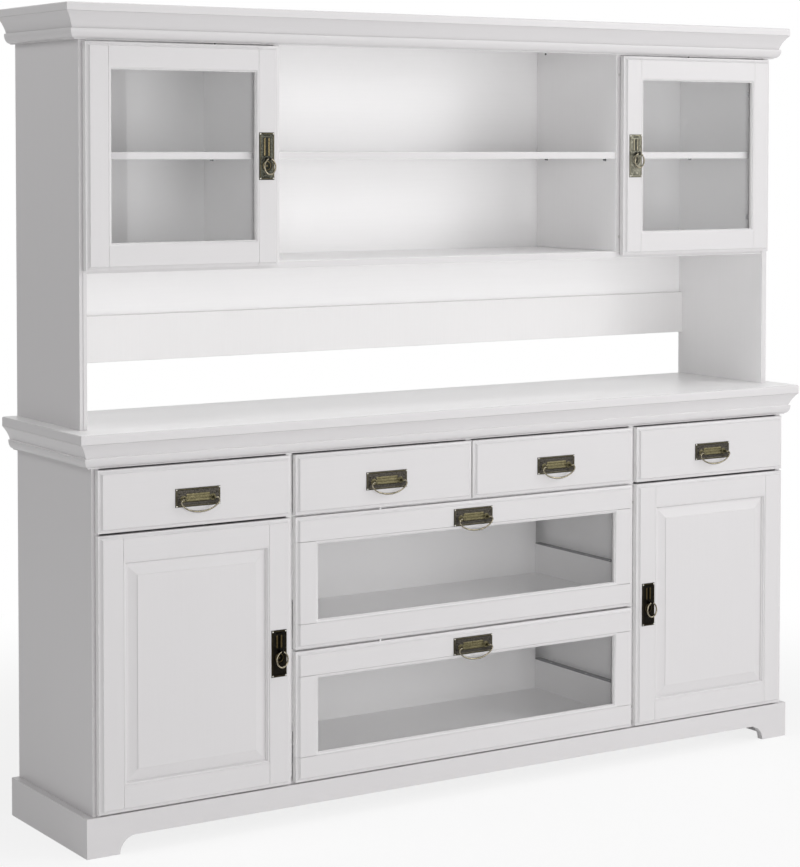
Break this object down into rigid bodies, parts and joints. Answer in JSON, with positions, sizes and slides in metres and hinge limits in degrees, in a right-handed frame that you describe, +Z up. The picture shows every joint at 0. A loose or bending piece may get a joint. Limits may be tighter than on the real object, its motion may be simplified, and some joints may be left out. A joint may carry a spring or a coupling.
{
  "type": "buffet cabinet",
  "caption": "Wide painted buffet cabinet: panelled doors, small and glazed drawers below, and a hutch with glazed doors, open shelves and a cornice.",
  "frame": {"origin": "on the floor, in the middle of the cabinet's width and depth", "axes": "+X to the cabinet's right as seen from the front, +Y to the wall behind it, +Z up; the front faces -Y"},
  "size_m": [2.202, 0.4792, 2],
  "materials": {
    "white_paint": "satin white paint on pine and board",
    "aged_brass": "dark aged brass",
    "clear_glass": "clear float glass"
  },
  "bodies": {
    "cabinet": {"drawer_divider": "white_paint", "hutch_back_panel": "white_paint", "hutch_back_rail": "white_paint", "hutch_bottom": "white_paint", "hutch_left_partition": "white_paint", "hutch_left_shelf": "white_paint", "hutch_left_side": "white_paint", "hutch_middle_shelf": "white_paint", "hutch_right_partition": "white_paint", "hutch_right_shelf": "white_paint", "hutch_right_side": "white_paint", "hutch_top": "white_paint", "lower_back_panel": "white_paint", "lower_bottom": "white_paint", "lower_left_partition": "white_paint", "lower_left_shelf": "white_paint", "lower_left_side": "white_paint", "lower_right_partition": "white_paint", "lower_right_shelf": "white_paint", "lower_right_side": "white_paint", "plinth": "white_paint", "worktop": "white_paint"},
    "lower_left_door": {"lower_left_door_frame": "white_paint", "lower_left_door_panel": "white_paint", "lower_left_door_plate": "aged_brass"},
    "lower_right_door": {"lower_right_door_frame": "white_paint", "lower_right_door_panel": "white_paint", "lower_right_door_plate": "aged_brass"},
    "hutch_left_door": {"hutch_left_door_frame": "white_paint", "hutch_left_door_glass": "clear_glass", "hutch_left_door_plate": "aged_brass"},
    "hutch_right_door": {"hutch_right_door_frame": "white_paint", "hutch_right_door_glass": "clear_glass", "hutch_right_door_plate": "aged_brass"},
    "top_drawer_1": {"top_drawer_1": "white_paint", "top_drawer_1_plate": "aged_brass"},
    "top_drawer_2": {"top_drawer_2": "white_paint", "top_drawer_2_plate": "aged_brass"},
    "top_drawer_3": {"top_drawer_3": "white_paint", "top_drawer_3_plate": "aged_brass"},
    "top_drawer_4": {"top_drawer_4": "white_paint", "top_drawer_4_plate": "aged_brass"},
    "lower_glass_drawer": {"lower_glass_drawer_box": "white_paint", "lower_glass_drawer_frame": "white_paint", "lower_glass_drawer_glass": "clear_glass", "lower_glass_drawer_plate": "aged_brass"},
    "upper_glass_drawer": {"upper_glass_drawer_box": "white_paint", "upper_glass_drawer_frame": "white_paint", "upper_glass_drawer_glass": "clear_glass", "upper_glass_drawer_plate": "aged_brass"},
    "lower_left_door_ring": {"lower_left_door_ring": "aged_brass"},
    "hutch_left_door_ring": {"hutch_left_door_ring": "aged_brass"},
    "lower_right_door_ring": {"lower_right_door_ring": "aged_brass"},
    "hutch_right_door_ring": {"hutch_right_door_ring": "aged_brass"},
    "top_drawer_1_bail": {"top_drawer_1_bail": "aged_brass"},
    "top_drawer_2_bail": {"top_drawer_2_bail": "aged_brass"},
    "top_drawer_3_bail": {"top_drawer_3_bail": "aged_brass"},
    "top_drawer_4_bail": {"top_drawer_4_bail": "aged_brass"},
    "lower_glass_drawer_bail": {"lower_glass_drawer_bail": "aged_brass"},
    "upper_glass_drawer_bail": {"upper_glass_drawer_bail": "aged_brass"}
  },
  "joints": [
    {"name": "lower_left_door_hinge", "type": "hinge", "parent": "cabinet", "child": "lower_left_door", "pos_m": [-1.0465, -0.19635, 0.4295], "axis": [0, 0, -1], "range_deg": [0, 105]},
    {"name": "lower_right_door_hinge", "type": "hinge", "parent": "cabinet", "child": "lower_right_door", "pos_m": [1.0465, -0.19635, 0.4295], "axis": [0, 0, 1], "range_deg": [0, 105]},
    {"name": "hutch_left_door_hinge", "type": "hinge", "parent": "cabinet", "child": "hutch_left_door", "pos_m": [-1.0455, -0.13385, 1.6422], "axis": [0, 0, -1], "range_deg": [0, 100]},
    {"name": "hutch_right_door_hinge", "type": "hinge", "parent": "cabinet", "child": "hutch_right_door", "pos_m": [1.0455, -0.13385, 1.6422], "axis": [0, 0, 1], "range_deg": [0, 100]},
    {"name": "top_drawer_1_slide", "type": "slide", "parent": "cabinet", "child": "top_drawer_1", "axis": [0, -1, 0], "range_m": [0, 0.3]},
    {"name": "top_drawer_2_slide", "type": "slide", "parent": "cabinet", "child": "top_drawer_2", "axis": [0, -1, 0], "range_m": [0, 0.3]},
    {"name": "top_drawer_3_slide", "type": "slide", "parent": "cabinet", "child": "top_drawer_3", "axis": [0, -1, 0], "range_m": [0, 0.3]},
    {"name": "top_drawer_4_slide", "type": "slide", "parent": "cabinet", "child": "top_drawer_4", "axis": [0, -1, 0], "range_m": [0, 0.3]},
    {"name": "lower_glass_drawer_slide", "type": "slide", "parent": "cabinet", "child": "lower_glass_drawer", "axis": [0, -1, 0], "range_m": [0, 0.3]},
    {"name": "upper_glass_drawer_slide", "type": "slide", "parent": "cabinet", "child": "upper_glass_drawer", "axis": [0, -1, 0], "range_m": [0, 0.3]},
    {"name": "lower_left_door_ring_swing", "type": "hinge", "parent": "lower_left_door", "child": "lower_left_door_ring", "pos_m": [-0.57, -0.23515, 0.436], "axis": [-1, 0, 0], "range_deg": [-18, 100]},
    {"name": "hutch_left_door_ring_swing", "type": "hinge", "parent": "hutch_left_door", "child": "hutch_left_door_ring", "pos_m": [-0.568, -0.17265, 1.6357], "axis": [-1, 0, 0], "range_deg": [-18, 100]},
    {"name": "lower_right_door_ring_swing", "type": "hinge", "parent": "lower_right_door", "child": "lower_right_door_ring", "pos_m": [0.57, -0.23515, 0.436], "axis": [-1, 0, 0], "range_deg": [-18, 100]},
    {"name": "hutch_right_door_ring_swing", "type": "hinge", "parent": "hutch_right_door", "child": "hutch_right_door_ring", "pos_m": [0.568, -0.17265, 1.6487], "axis": [-1, 0, 0], "range_deg": [-18, 100]},
    {"name": "top_drawer_1_bail_swing", "type": "hinge", "parent": "top_drawer_1", "child": "top_drawer_1_bail", "pos_m": [-0.79, -0.23215, 0.82895], "axis": [-1, 0, 0], "range_deg": [-20, 95]},
    {"name": "top_drawer_2_bail_swing", "type": "hinge", "parent": "top_drawer_2", "child": "top_drawer_2_bail", "pos_m": [-0.26122, -0.23215, 0.82895], "axis": [-1, 0, 0], "range_deg": [-20, 95]},
    {"name": "top_drawer_3_bail_swing", "type": "hinge", "parent": "top_drawer_3", "child": "top_drawer_3_bail", "pos_m": [0.26122, -0.23215, 0.82895], "axis": [-1, 0, 0], "range_deg": [-20, 95]},
    {"name": "top_drawer_4_bail_swing", "type": "hinge", "parent": "top_drawer_4", "child": "top_drawer_4_bail", "pos_m": [0.79, -0.23215, 0.82895], "axis": [-1, 0, 0], "range_deg": [-20, 95]},
    {"name": "lower_glass_drawer_bail_swing", "type": "hinge", "parent": "lower_glass_drawer", "child": "lower_glass_drawer_bail", "pos_m": [0, -0.23215, 0.3825], "axis": [-1, 0, 0], "range_deg": [-20, 95]},
    {"name": "upper_glass_drawer_bail_swing", "type": "hinge", "parent": "upper_glass_drawer", "child": "upper_glass_drawer_bail", "pos_m": [0, -0.23215, 0.715], "axis": [-1, 0, 0], "range_deg": [-20, 95]}
  ]
}
